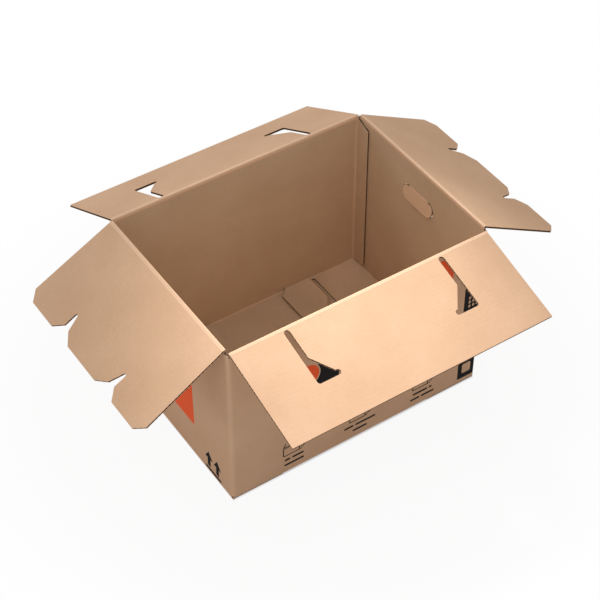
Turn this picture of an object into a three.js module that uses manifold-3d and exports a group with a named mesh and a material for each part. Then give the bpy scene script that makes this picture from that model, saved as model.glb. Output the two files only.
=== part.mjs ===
// Moving box of single wall corrugated board, standing with its floor locked and its top open.
// Millimetres, +Z up, X along the long walls, the front wall towards -Y.
// The origin lies on the ground under the middle of the opened box.

import * as THREE from 'three';
import { mergeVertices } from 'three/addons/utils/BufferGeometryUtils.js';
import Module from 'manifold-3d';

// Board and the clearances around it
const boardThickness = 4;
const layerGap = 0.4;          // between boards that lie on each other
const hingeGap = 0.3;          // between a flap's rolled edge and the rim under it
const sideGap = 0.7;           // between a closed flap's side and the wall beside it

// Inside of the closed box
const insideLength = 559;
const insideWidth = 406;
const insideHeight = 384;

// Folds
const cornerRadius = 7;        // outer radius of the upright folds
const floorFoldRadius = 5;     // outer radius where a wall turns into the floor
const cornerFootLift = 1;      // from the ground to the lower end of an upright fold
const stepsPerFold = 8;

// Flaps at rest, in degrees below level, and the steepest that they fold down
const frontFlapAngle = 15.8;
const backFlapAngle = 28.5;
const endFlapAngle = 28.9;
const steepestAngle = 65;

// Long flaps, on the front and back walls
const meetingGap = 1.5;        // between the two long flaps where they meet

// Lock slots in the long flaps
const slotStart = 6;           // from the hinge to the slot's round end
const slotLength = 117;
const slotWidth = 12;
const slotNarrowLength = 70;   // from the hinge to where the inner edge turns off
const slotReach = 43;          // from the slot's outer edge to the middle of its ear
const earRadius = 5.5;
const earEndAngle = 75;        // where the ear runs into the slanted edge, in degrees
const slotCornerRadius = 5;

// End flaps, on the left and right walls
const endFlapInset = 4;        // from the box's outside to the flap's side
const endHingeInset = 10;      // the same at the hinge, where the flap is narrower
const endSlopeGap = 0.8;       // beside an end flap's hinge, where the rim is sloped
const endFlapDepth = 207;
const flapCornerCut = 20;      // chamfer at the flap's free corners
const lobeTipCut = 20.5;       // chamfer beside each notch, on the outer lobe
const notchDepth = 50;
const notchWidth = 7;
const notchFlare = 10.5;       // how far the middle lobe's slanted side leans away
const middleTipCut = 25;       // chamfer across the middle lobe's corners
const middleTipCutDepth = 18;

// Locked floor, with the same slots and shorter end flaps
const floorFlapDepth = 200;    // from the box's outside to the tips of the floor's end flaps
const floorNotchDepth = 53.5;
const lobeRun = 8;             // length over which a lobe climbs through its slot
const lobeSetIn = 0.5;         // from the slot's edges to the lobe
const lobeWallGap = 0.6;       // from the lobe to the long wall
const lobeLift = 2;            // how steeply the lobe stands off the floor, in degrees

// Glued joint at the back right corner
const tabWidth = 38;           // from the back wall's inside to the tab's free edge
const tabTopTaper = 12;
const tabBottomTaper = 8;
const jointSetback = 1;        // from the box's outside to the right wall's cut edge

// Hand holes in the end walls, each still filled by its flap
const handHoleWidth = 95;
const handHoleHeight = 38;
const handHoleDrop = 60;       // from the top fold to the hole's upper edge
const handCutGap = 1.2;
const handShoulder = 1.5;      // from the hinge's ends to the flap's shoulders
const handFlapTilt = 8;        // in degrees, pushed in from upright

// Overlap of pieces that are joined into one sheet
const bite = 0.3;
const overshoot = 5;           // how far a cut runs past what it cuts

// Sizes that follow
const halfLength = insideLength / 2 + boardThickness;
const halfWidth = insideWidth / 2 + boardThickness;
const halfBoard = boardThickness / 2;
const hingeX = halfLength - halfBoard;
const hingeY = halfWidth - halfBoard;
const endFloorZ = 0;
const longFloorZ = endFloorZ + boardThickness + layerGap;
const floorTop = longFloorZ + boardThickness;
const wallBottom = longFloorZ + floorFoldRadius;
const cornerFootZ = endFloorZ + cornerFootLift;
const longHingeZ = floorTop + insideHeight + halfBoard;
const endHingeZ = longHingeZ + boardThickness + layerGap;
const longRim = longHingeZ - halfBoard - hingeGap;
const endRim = endHingeZ - halfBoard - hingeGap;
const longFlapDepth = hingeY - meetingGap / 2;
const longFlapHalf = halfLength - boardThickness - sideGap;
const endFlapHalf = halfWidth - endFlapInset;
const endHingeHalf = halfWidth - endHingeInset;
const radians = Math.PI / 180;

// Plan of the lock: the slot's ear takes in the end of the notch beside the outer lobe
const slotFarY = hingeY - slotStart;
const slotNearY = slotFarY - slotLength;
const earY = slotNearY + earRadius;
const earX = hingeX - (endFlapDepth - notchDepth) + earRadius;
const slotOuterX = earX + slotReach;
const slotInnerX = slotOuterX - slotWidth;
const slotBendY = hingeY - slotNarrowLength;
const notchOuterY = earY + notchWidth / 2;
const notchInnerY = earY - notchWidth / 2;

const wasm = await Module();
wasm.setup();

// Outlines

function arc(centreX, centreY, radius, fromDegrees, toDegrees) {
  const points = [];
  const steps = Math.max(2, Math.round(stepsPerFold * Math.abs(toDegrees - fromDegrees) / 90));
  for (let i = 0; i <= steps; i++) {
    const angle = (fromDegrees + (toDegrees - fromDegrees) * i / steps) * radians;
    points.push([centreX + radius * Math.cos(angle), centreY + radius * Math.sin(angle)]);
  }
  return points;
}

function shapeOf(points) {
  return new THREE.Shape(points.map(([x, y]) => new THREE.Vector2(x, y)));
}

// Solids, each one closed

function solidOf(geometry) {
  const bare = geometry.clone();
  bare.deleteAttribute('normal');
  bare.deleteAttribute('uv');
  const merged = mergeVertices(bare, 1e-5);
  return new wasm.Manifold(new wasm.Mesh({
    numProp: 3,
    vertProperties: Float32Array.from(merged.attributes.position.array),
    triVerts: Uint32Array.from(merged.index.array),
  }));
}

function geometryOf(solid) {
  const mesh = solid.getMesh();
  const geometry = new THREE.BufferGeometry();
  geometry.setAttribute('position', new THREE.BufferAttribute(mesh.vertProperties, 3));
  geometry.setIndex(new THREE.BufferAttribute(mesh.triVerts, 1));
  geometry.computeVertexNormals();
  return geometry;
}

function extrude(points, depth, matrix) {
  const geometry = new THREE.ExtrudeGeometry(shapeOf(points), { depth, bevelEnabled: false });
  if (matrix) geometry.applyMatrix4(matrix);
  return solidOf(geometry);
}

// Outline in X and Y, from one height to another
function plate(points, low, high) {
  return extrude(points, high - low, new THREE.Matrix4().makeTranslation(0, 0, low));
}

// Profile in Y and Z, from one X to another
function alongX(points, fromX, toX) {
  const turn = new THREE.Matrix4().makeBasis(
    new THREE.Vector3(0, 1, 0), new THREE.Vector3(0, 0, 1), new THREE.Vector3(1, 0, 0));
  turn.setPosition(fromX, 0, 0);
  return extrude(points, toX - fromX, turn);
}

// Profile in X and Z, centred on Y
function alongY(points, halfSpan) {
  const turn = new THREE.Matrix4().makeBasis(
    new THREE.Vector3(1, 0, 0), new THREE.Vector3(0, 0, 1), new THREE.Vector3(0, -1, 0));
  turn.setPosition(0, halfSpan, 0);
  return extrude(points, 2 * halfSpan, turn);
}

// Board of one thickness over an outline, its underside at slopeX * x + slopeY * y + base
function slopedBoard(points, slopeX, slopeY, base) {
  const shear = new THREE.Matrix4().set(
    1, 0, 0, 0,
    0, 1, 0, 0,
    slopeX, slopeY, 1, base,
    0, 0, 0, 1);
  return extrude(points, boardThickness, shear);
}

function joinAll(solids) {
  return solids.reduce((joined, next) => joined.add(next));
}

function flipped(points, signX, signY) {
  return points.map(([x, y]) => [signX * x, signY * y]);
}

// Plan of one lock slot, in the corner where X and Y are both positive
function slotPlan() {
  const half = slotWidth / 2;
  return [
    ...arc(slotOuterX - half, slotFarY - half, half, 180, 0),
    ...arc(slotOuterX - slotCornerRadius, slotNearY + slotCornerRadius, slotCornerRadius, 0, -90),
    ...arc(earX, earY, earRadius, -90, -360 + earEndAngle),
    [slotInnerX, slotBendY],
  ];
}

// Free edge of an end flap, as distances from the flap's middle line and from its hinge: first
// the tip of an outer lobe, then the notch and half of the middle lobe
function outerLobeTip(depth, half) {
  return [
    [half, depth - flapCornerCut],
    [half - flapCornerCut, depth],
    [notchOuterY + lobeTipCut, depth],
    [notchOuterY, depth - lobeTipCut],
  ];
}

function notchAndMiddle(depth, notch) {
  return [
    ...arc(earY, depth - notch + notchWidth / 2, notchWidth / 2, 0, -180),
    [notchInnerY - notchFlare, depth - middleTipCutDepth],
    [notchInnerY - notchFlare - middleTipCut, depth],
  ];
}

// Plan outline of a stadium with its long axis along the first coordinate
function stadium(width, height, centre, grow) {
  const radius = height / 2 + grow;
  const reach = width / 2 - height / 2;
  return [
    ...arc(reach, centre, radius, -90, 90),
    ...arc(-reach, centre, radius, 90, 270),
  ];
}

// Walls: one strip that starts at the right wall's cut edge and ends in the glued tab
function wallStrip(low, high) {
  const inner = cornerRadius - boardThickness;
  const x = halfLength - cornerRadius;
  const y = halfWidth - cornerRadius;
  const jointX = x - boardThickness;
  return plate([
    [halfLength, halfWidth - jointSetback],
    ...arc(x, -y, cornerRadius, 0, -90),
    ...arc(-x, -y, cornerRadius, -90, -180),
    ...arc(-x, y, cornerRadius, 180, 90),
    ...arc(jointX, y, cornerRadius, 90, 0),
    ...arc(jointX, y, inner, 0, 90),
    ...arc(-x, y, inner, 90, 180),
    ...arc(-x, -y, inner, -180, -90),
    ...arc(x, -y, inner, -90, 0),
    [halfLength - boardThickness, halfWidth - jointSetback],
  ], low, high);
}

// The walls' upright folds reach down between the floor's folds
function cornerFeet() {
  const alongFront = longFlapHalf + hingeGap;
  const alongEnd = endFlapHalf + hingeGap;
  const pastX = halfLength + overshoot;
  const pastY = halfWidth + overshoot;
  const frontHalf = [[alongFront, pastY], [-alongFront, pastY]];
  const frontToBack = [...frontHalf, ...flipped(frontHalf, 1, -1).reverse()];
  const rightHalf = [[pastX, alongEnd], [-pastX, alongEnd]];
  const leftToRight = [...rightHalf, ...flipped(rightHalf, 1, -1).reverse()];
  return wallStrip(cornerFootZ, wallBottom + bite)
    .subtract(plate(frontToBack, endFloorZ, longHingeZ))
    .subtract(plate(leftToRight, endFloorZ, longHingeZ));
}

function glueTab() {
  const foldY = halfWidth - cornerRadius + bite;
  const freeY = halfWidth - boardThickness - tabWidth;
  return alongX([
    [foldY, wallBottom],
    [freeY, wallBottom + tabBottomTaper],
    [freeY, longRim - tabTopTaper],
    [foldY, longRim],
  ], halfLength - 2 * boardThickness, halfLength - boardThickness + bite);
}

// What the rim loses so that a flap can fold down outside: all above a slope that lies along the
// flap's underside at its steepest, and that starts where the flap's rolled edge leaves the rim
function rimSlope(outside, rim) {
  const sign = Math.sign(outside);
  const steepest = steepestAngle * radians;
  const start = Math.abs(outside) - halfBoard - (halfBoard + hingeGap) * Math.tan(steepest / 2);
  const past = Math.abs(outside) + boardThickness;
  return flipped([
    [start, rim],
    [past, rim - (past - start) * Math.tan(steepest)],
    [past, rim + overshoot],
    [start, rim + overshoot],
  ], sign, 1);
}

function cutRim(walls) {
  let cut = walls;
  for (const sign of [1, -1]) {
    const farSide = [
      [-halfLength - overshoot, sign * endHingeHalf],
      [halfLength + overshoot, sign * endHingeHalf],
      [halfLength + overshoot, sign * (halfWidth + overshoot)],
      [-halfLength - overshoot, sign * (halfWidth + overshoot)],
    ];
    cut = cut.subtract(plate(farSide, longRim, endRim + overshoot));
    const longSlope = rimSlope(sign * halfWidth, longRim);
    cut = cut.subtract(alongX(longSlope, -longFlapHalf - hingeGap, longFlapHalf + hingeGap));
    cut = cut.subtract(alongY(rimSlope(sign * halfLength, endRim), endHingeHalf + endSlopeGap));
  }
  return cut;
}

const handHoleTop = endHingeZ - handHoleDrop;
const handHingeZ = handHoleTop - hingeGap - halfBoard;

function cutHandHoles(walls) {
  const outline = stadium(handHoleWidth, handHoleHeight, handHoleTop - handHoleHeight / 2, 0);
  return walls.subtract(alongX(outline, -halfLength - overshoot, halfLength + overshoot));
}

// Floor: a wall's lower end turned in towards the middle, as a profile in the wall's own plane
function floorFold(outside, underside, reach) {
  const sign = Math.sign(outside);
  const centre = Math.abs(outside) - floorFoldRadius;
  const centreZ = underside + floorFoldRadius;
  return flipped([
    [Math.abs(outside), wallBottom + bite],
    ...arc(centre, centreZ, floorFoldRadius, 0, -90),
    [reach, underside],
    [reach, underside + boardThickness],
    ...arc(centre, centreZ, floorFoldRadius - boardThickness, -90, 0),
    [Math.abs(outside) - boardThickness, wallBottom + bite],
  ], sign, 1);
}

function longFloorFlap(sign) {
  const flap = alongX(floorFold(sign * halfWidth, longFloorZ, meetingGap / 2),
    -longFlapHalf, longFlapHalf);
  const low = longFloorZ - layerGap / 2;
  const high = floorTop + layerGap;
  return flap
    .subtract(plate(flipped(slotPlan(), 1, sign), low, high))
    .subtract(plate(flipped(slotPlan(), -1, sign), low, high));
}

// Floor lobe: the outer lobe of an end flap, which climbs through the slot and lies inside
const lobeRise = floorTop + layerGap - endFloorZ;
const slantAngle = Math.atan2(slotBendY - earY, slotInnerX - earX);
const slantOutX = Math.sin(slantAngle);
const slantOutY = -Math.cos(slantAngle);
const lobeTopX = slotInnerX + lobeSetIn;
const lobeFootX = lobeTopX + lobeRun;
const lobeFarY = slotFarY - lobeSetIn;
const lobeWallY = halfWidth - boardThickness - lobeWallGap;
const lobeTipX = halfLength - floorFlapDepth;

// Point of the lobe's slanted fold at a given distance outside the slot's slanted edge,
// either at a given X or at a given Y
function slantPoint(distance, { atX, atY }) {
  const startX = slotInnerX + slantOutX * distance;
  const startY = slotBendY + slantOutY * distance;
  const slope = Math.tan(slantAngle);
  if (atX !== undefined) return [atX, startY + (atX - startX) * slope];
  return [startX + (atY - startY) / slope, atY];
}

const lobeTopBend = slantPoint(lobeSetIn, { atX: lobeTopX });
const lobeFootBend = slantPoint(lobeSetIn + lobeRun, { atX: lobeFootX });
const lobeTopEnd = slantPoint(lobeSetIn, { atY: notchOuterY });
const lobeFootEnd = slantPoint(lobeSetIn + lobeRun, { atY: notchOuterY });

function floorLobe(signX, signY) {
  const climb = lobeRise / lobeRun;
  const straight = [[lobeFootX, lobeFarY], lobeFootBend, lobeTopBend, [lobeTopX, lobeFarY]];
  const slanted = [lobeFootBend, lobeFootEnd, lobeTopEnd, lobeTopBend];
  const slantBase = climb * (slantOutX * lobeFootBend[0] + slantOutY * lobeFootBend[1]);
  const lift = Math.tan(lobeLift * radians);
  const lying = [
    [lobeTopX + bite, lobeWallY],
    [lobeTopX + bite, lobeTopBend[1] - bite],
    [lobeTopEnd[0] + bite, notchOuterY],
    [lobeTipX + lobeTipCut, notchOuterY],
    [lobeTipX, notchOuterY + lobeTipCut],
    [lobeTipX, lobeWallY - flapCornerCut],
    [lobeTipX + flapCornerCut, lobeWallY],
  ];
  return joinAll([
    slopedBoard(flipped(straight, signX, signY), -signX * climb, 0, climb * lobeFootX),
    slopedBoard(flipped(slanted, signX, signY),
      -signX * climb * slantOutX, -signY * climb * slantOutY, slantBase),
    slopedBoard(flipped(lying, signX, signY), -signX * lift, 0, lobeRise + lift * lobeTopX),
  ]);
}

function endFloorFlap(sign) {
  const foldEnd = halfLength - floorFoldRadius;
  const edge = notchAndMiddle(floorFlapDepth, floorNotchDepth)
    .map(([across, along]) => [halfLength - along, across]);
  const half = [
    [foldEnd + bite, endFlapHalf],
    [lobeFootX - bite, endFlapHalf],
    [lobeFootX - bite, lobeFootBend[1]],
    [lobeFootEnd[0] - bite, notchOuterY],
    ...edge,
  ];
  const outline = [...half, ...flipped(half, 1, -1).reverse()];
  return joinAll([
    alongY(floorFold(sign * halfLength, endFloorZ, foldEnd - bite), endFlapHalf),
    plate(flipped(outline, sign, 1), endFloorZ, endFloorZ + boardThickness),
    floorLobe(sign, 1),
    floorLobe(sign, -1),
  ]);
}

function carton() {
  const walls = cutHandHoles(cutRim(wallStrip(wallBottom, endRim)).add(glueTab()));
  return joinAll([
    walls,
    cornerFeet(),
    longFloorFlap(1),
    longFloorFlap(-1),
    endFloorFlap(1),
    endFloorFlap(-1),
  ]);
}

// A flap in its hinge's own frame: X along the hinge, Y out to the free edge, with the hinge edge
// rolled round the hinge line
function hingedBoard(outline, depth, halfSpan) {
  const nose = [
    ...arc(0, 0, halfBoard, -90, -270),
    [depth, halfBoard],
    [depth, -halfBoard],
  ];
  const board = alongX(nose, -halfSpan - overshoot, halfSpan + overshoot);
  return board.intersect(plate(outline, -boardThickness, boardThickness));
}

function longFlap() {
  const outline = [
    [longFlapHalf, -boardThickness],
    [longFlapHalf, longFlapDepth],
    [-longFlapHalf, longFlapDepth],
    [-longFlapHalf, -boardThickness],
  ];
  let flap = hingedBoard(outline, longFlapDepth, longFlapHalf);
  for (const sign of [1, -1]) {
    const slot = slotPlan().map(([x, y]) => [sign * x, hingeY - y]);
    flap = flap.subtract(plate(slot, -boardThickness, boardThickness));
  }
  return flap;
}

function endFlap() {
  const half = [
    [endHingeHalf, -boardThickness],
    ...outerLobeTip(endFlapDepth, endFlapHalf),
    ...notchAndMiddle(endFlapDepth, notchDepth),
  ];
  const outline = [...half, ...flipped(half, -1, 1).reverse()];
  return hingedBoard(outline, endFlapDepth, endFlapHalf);
}

function handFlap() {
  const hingeHalf = handHoleWidth / 2 - handHoleHeight / 2;
  const shoulderY = halfBoard + hingeGap;
  const centre = handHoleHeight / 2 - halfBoard - hingeGap;
  const radius = handHoleHeight / 2 - handCutGap;
  const shoulderAngle = Math.asin((shoulderY - centre) / radius) / radians;
  const outline = [
    [hingeHalf + handShoulder, -boardThickness],
    [hingeHalf + handShoulder, shoulderY],
    ...arc(hingeHalf, centre, radius, shoulderAngle, 90),
    ...arc(-hingeHalf, centre, radius, 90, 180 - shoulderAngle),
    [-hingeHalf - handShoulder, shoulderY],
    [-hingeHalf - handShoulder, -boardThickness],
  ];
  return hingedBoard(outline, handHoleHeight, handHoleWidth / 2);
}

// Scene graph

const board = { color: 0xc29a72, roughness: 0.9, metalness: 0 };

function boardMesh(name, solid) {
  const mesh = new THREE.Mesh(geometryOf(solid), new THREE.MeshStandardMaterial(board));
  mesh.name = name;
  return mesh;
}

// A hinge line at a place, its flap pointing away along a heading in degrees and then drooping
function hinged(mesh, place, heading, droop) {
  const hinge = new THREE.Group();
  hinge.position.set(...place);
  hinge.rotation.z = heading * radians;
  mesh.rotation.x = -droop * radians;
  hinge.add(mesh);
  return hinge;
}

// How far a drooping flap reaches out from its hinge
function outreach(depth, droop) {
  return depth * Math.cos(droop * radians) + halfBoard * Math.sin(droop * radians);
}

const movingBox = new THREE.Group();
const frontReach = outreach(longFlapDepth, frontFlapAngle);
const backReach = outreach(longFlapDepth, backFlapAngle);
movingBox.position.y = (frontReach - backReach) / 2;

movingBox.add(
  boardMesh('carton', carton()),
  hinged(boardMesh('front_flap', longFlap()), [0, -hingeY, longHingeZ], 180, frontFlapAngle),
  hinged(boardMesh('back_flap', longFlap()), [0, hingeY, longHingeZ], 0, backFlapAngle),
  hinged(boardMesh('left_flap', endFlap()), [-hingeX, 0, endHingeZ], 90, endFlapAngle),
  hinged(boardMesh('right_flap', endFlap()), [hingeX, 0, endHingeZ], -90, endFlapAngle),
  hinged(boardMesh('left_hand_flap', handFlap()), [-hingeX, 0, handHingeZ], -90,
    90 - handFlapTilt),
  hinged(boardMesh('right_hand_flap', handFlap()), [hingeX, 0, handHingeZ], 90,
    90 - handFlapTilt),
);

export default movingBox;
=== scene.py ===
import math

import bmesh
import bpy
from mathutils import Matrix, Vector
from mathutils.geometry import tessellate_polygon


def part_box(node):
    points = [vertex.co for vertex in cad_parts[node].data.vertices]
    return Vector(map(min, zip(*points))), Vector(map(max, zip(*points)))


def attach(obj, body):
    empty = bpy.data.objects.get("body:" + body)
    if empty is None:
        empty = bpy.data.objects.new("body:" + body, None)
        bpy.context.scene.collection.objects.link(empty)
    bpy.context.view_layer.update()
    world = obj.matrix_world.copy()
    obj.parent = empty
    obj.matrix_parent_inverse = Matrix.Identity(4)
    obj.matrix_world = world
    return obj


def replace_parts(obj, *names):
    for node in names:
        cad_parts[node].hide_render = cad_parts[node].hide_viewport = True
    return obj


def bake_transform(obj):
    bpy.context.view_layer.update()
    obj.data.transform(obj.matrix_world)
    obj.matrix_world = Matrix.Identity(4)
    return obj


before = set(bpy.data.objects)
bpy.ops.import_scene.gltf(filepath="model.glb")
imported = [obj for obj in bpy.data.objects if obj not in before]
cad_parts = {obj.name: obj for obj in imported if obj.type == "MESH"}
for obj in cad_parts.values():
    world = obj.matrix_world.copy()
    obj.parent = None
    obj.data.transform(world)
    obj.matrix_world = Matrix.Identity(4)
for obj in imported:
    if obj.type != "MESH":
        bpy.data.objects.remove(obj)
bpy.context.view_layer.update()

# Everything is measured in millimetres here and turned into metres when a mesh is made.
# A board is drawn flat: first number across the flutes' length, second number over the flutes.

mm = 0.001
cartonLow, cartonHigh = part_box("carton")
boxShiftY = (cartonLow[1] + cartonHigh[1]) / 2 / mm

board = {
    "thickness": 4.0,
    "liner": 0.35,
    "medium": 0.25,
    "flutePitch": 7.9,
    "stepsPerFlute": 6,
}
box = {
    "halfLength": 283.5,
    "halfWidth": 207.0,
    "cornerRadius": 7.0,
    "longRim": 392.1,
    "endRim": 396.5,
    "wallBottom": 9.4,
    "cornerFoot": 1.0,
    "footAtLong": 2.73,       # from a fold's end to its foot, beside a long wall and an end wall
    "footAtEnd": 3.6,
    "jointSetback": 1.0,
    "steepestFold": 65.0,
    "hingeGap": 0.3,
    "endSlopeGap": 0.8,       # beside an end flap's hinge, where the rim is sloped
}
half = board["thickness"] / 2
hingeX = box["halfLength"] - half
hingeY = box["halfWidth"] - half
quarterSteps = 8      # straight steps in a quarter turn
tiny = 0.01           # too small to see

# How much lighter the paper is at a bend, from 0 to 1: partly wear, partly a painted highlight on the rounded
# bend
wearAndHighlight = {
    "nose": 0.6, "corner": 0.25, "cornerReach": 3, "floorFold": 0.5, "lobeFold": 0.45,
    "foldTop": 0.9, "foldFoot": 0.2, "foldOutside": 0.5,
}


# Outlines

def arcPoints(centreX, centreY, radius, fromDegrees, toDegrees):
    steps = max(2, round(quarterSteps * abs(toDegrees - fromDegrees) / 90))
    angles = [math.radians(fromDegrees + (toDegrees - fromDegrees) * i / steps) for i in range(steps + 1)]
    return [(centreX + radius * math.cos(a), centreY + radius * math.sin(a)) for a in angles]


def mirrored(points):
    return [(-x, y) for x, y in reversed(points)]


def roundedBar(x0, y0, x1, y1, radius):
    return (arcPoints(x1 - radius, y0 + radius, radius, -90, 0)
            + arcPoints(x1 - radius, y1 - radius, radius, 0, 90)
            + arcPoints(x0 + radius, y1 - radius, radius, 90, 180)
            + arcPoints(x0 + radius, y0 + radius, radius, 180, 270))


# Flat sheets, cut where they bend

def cutAcross(flat, normal, offsets):
    faces = list(flat.faces)
    for offset in sorted(offsets):
        parts = set(faces)
        for face in faces:
            parts.update(face.edges)
            parts.update(face.verts)
        cut = bmesh.ops.bisect_plane(flat, geom=list(parts), dist=1e-4,
                                     plane_co=normal * offset, plane_no=normal)
        faces = [g for g in cut["geom"] if isinstance(g, bmesh.types.BMFace)
                 and g.calc_center_bounds().dot(normal) > offset]


def flatSheet(outline, holes=(), fluteCuts=(), bendCuts=(), slantCuts=()):
    loops = [[Vector((x, y, 0)) for x, y in loop] for loop in (outline, *holes)]
    flat = bmesh.new()
    verts = [flat.verts.new(point) for loop in loops for point in loop]
    for triangle in tessellate_polygon(loops):
        corners = [verts[i] for i in triangle]
        if len(set(corners)) == 3 and not flat.faces.get(corners):
            flat.faces.new(corners)
    cutAcross(flat, Vector((0, 1, 0)), fluteCuts)
    if fluteCuts:
        loose = [e for e in flat.edges if len(e.link_faces) == 2
                 and abs(e.verts[0].co.y - e.verts[1].co.y) > 1e-3]
        bmesh.ops.dissolve_edges(flat, edges=loose, use_verts=False)
    cutAcross(flat, Vector((1, 0, 0)), bendCuts)
    for normal, offset in slantCuts:
        cutAcross(flat, Vector((*normal, 0)), [offset])
    flat.verts.index_update()
    points = [(v.co.x, v.co.y) for v in flat.verts]
    faces = []
    for face in flat.faces:
        ring = [v.index for v in face.verts]
        area = sum(points[ring[i - 1]][0] * points[ring[i]][1] - points[ring[i]][0] * points[ring[i - 1]][1]
                   for i in range(len(ring)))
        faces.append(ring if area > 0 else ring[::-1])
    flat.free()
    return points, faces


def newShell():
    return {"verts": [], "faces": [], "flat": [], "fold": []}


def addSheet(shell, sheet, low, high, place, foldAt=None):
    points, faces = sheet
    start = len(shell["verts"])
    count = len(points)
    for level in (low, high):
        for x, y in points:
            shell["verts"].append(place(x, y, level(y) if callable(level) else level))
            shell["flat"].append((x, y))
            shell["fold"].append(foldAt(x, y) if foldAt else 0.0)
    edges = {}
    for face in faces:
        shell["faces"].append([start + i for i in reversed(face)])
        shell["faces"].append([start + count + i for i in face])
        for a, b in zip(face, face[1:] + face[:1]):
            edges[(a, b)] = edges.get((a, b), 0) + 1
    for a, b in edges:
        if (b, a) not in edges:
            shell["faces"].append([start + a, start + b, start + count + b, start + count + a])


def addPrism(shell, profile, span, place, foldAt=None):
    start = len(shell["verts"])
    count = len(profile)
    for across in span:
        for x, y in profile:
            shell["verts"].append(place(across, x, y))
            shell["flat"].append((across, x - y))
            shell["fold"].append(foldAt(x, y) if foldAt else 0.0)
    shell["faces"].append([start + i for i in range(count)])
    shell["faces"].append([start + count + i for i in reversed(range(count))])
    for i in range(count):
        j = (i + 1) % count
        shell["faces"].append([start + j, start + i, start + count + i, start + count + j])


def makePiece(name, shell, material, body=None, sharpest=40):
    mesh = bpy.data.meshes.new(name)
    mesh.from_pydata([Vector(v) * mm for v in shell["verts"]], [], shell["faces"])
    mesh.update()
    flatMap = mesh.uv_layers.new(name="flat")
    for loop in mesh.loops:
        x, y = shell["flat"][loop.vertex_index]
        flatMap.data[loop.index].uv = (x * mm, y * mm)
    fold = mesh.attributes.new("fold", "FLOAT", "POINT")
    fold.data.foreach_set("value", shell["fold"])
    tidy = bmesh.new()
    tidy.from_mesh(mesh)
    bmesh.ops.recalc_face_normals(tidy, faces=tidy.faces)
    tidy.to_mesh(mesh)
    tidy.free()
    mesh.shade_smooth()
    mesh.set_sharp_from_angle(angle=math.radians(sharpest))
    piece = bpy.data.objects.new(name, mesh)
    bpy.context.scene.collection.objects.link(piece)
    mesh.materials.append(material)
    if body:
        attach(piece, body)
    return piece


# Materials

def newMaterial(name):
    material = bpy.data.materials.new(name)
    material.use_nodes = True
    nodes = material.node_tree.nodes
    links = material.node_tree.links
    return material, nodes, links, nodes["Principled BSDF"]


def addNoise(nodes, links, vector, stretch, scale, detail):
    mapping = nodes.new("ShaderNodeMapping")
    mapping.inputs["Scale"].default_value = stretch
    noise = nodes.new("ShaderNodeTexNoise")
    noise.inputs["Scale"].default_value = scale
    noise.inputs["Detail"].default_value = detail
    links.new(vector, mapping.inputs["Vector"])
    links.new(mapping.outputs["Vector"], noise.inputs["Vector"])
    return noise.outputs["Fac"]


def addMath(nodes, links, operation, first, second):
    node = nodes.new("ShaderNodeMath")
    node.operation = operation
    for socket, value in zip(node.inputs, (first, second)):
        if isinstance(value, (int, float)):
            socket.default_value = value
        else:
            links.new(value, socket)
    return node.outputs[0]


def addRange(nodes, links, value, fromLow, fromHigh, toLow, toHigh):
    node = nodes.new("ShaderNodeMapRange")
    for name, number in (("From Min", fromLow), ("From Max", fromHigh),
                         ("To Min", toLow), ("To Max", toHigh)):
        node.inputs[name].default_value = number
    links.new(value, node.inputs["Value"])
    return node.outputs["Result"]


def addMix(nodes, links, blend, factor, first, second):
    node = nodes.new("ShaderNodeMix")
    node.data_type = "RGBA"
    node.blend_type = blend
    for socket, value in zip((node.inputs[0], node.inputs[6], node.inputs[7]), (factor, first, second)):
        if isinstance(value, (int, float)):
            socket.default_value = value
        elif isinstance(value, tuple):
            socket.default_value = (*value, 1)
        else:
            links.new(value, socket)
    return node.outputs[2]


# Noise in the paper: how it is stretched over the flat sheet, how fine and how detailed it is
texture = {
    "clouds": {"stretch": (1, 1, 1), "scale": 9, "detail": 3},
    "streaks": {"stretch": (0.6, 1, 1), "scale": 160, "detail": 4},
    "fibres": {"stretch": (1, 0.3, 1), "scale": 1500, "detail": 3},
    "flecks": {"stretch": (1, 0.6, 1), "scale": 420, "detail": 1},
    "medium": {"stretch": (1, 0.4, 1), "scale": 900, "detail": 3},
}
cloudRange = (0.35, 0.65)
noiseRange = (0.3, 0.7)
kraft = {
    "colour": (0.660, 0.415, 0.258),
    "dark": (0.560, 0.340, 0.203),
    "light": (0.740, 0.490, 0.320),
    "evenness": 0.75,         # share of the plain colour over the cloudy one
    # The paper at the bends is lighter: partly wear, partly a painted highlight on the rounded bend
    "fold": (0.820, 0.550, 0.365),
    "foldCover": (0.55, 0.95),
    "inside": (0.86, 0.94, 0.96),   # painted shade: the share of that colour the box's inside paper is darkened to
    "streakTone": (0.975, 1.02),
    "fibreTone": (0.95, 1.04),
    "fleck": (0.330, 0.190, 0.105),
    "fleckRange": (0.72, 0.8),
    "fleckCover": 0.45,
    "roughness": 0.86,
    "sheen": 0.25,
    "washboard": 0.008,       # how far the flutes show through the face
    "bumpFibres": 0.5, "bumpFlutes": 0.6, "bumpStrength": 0.25, "bumpDistance": 0.0001,
}


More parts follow.
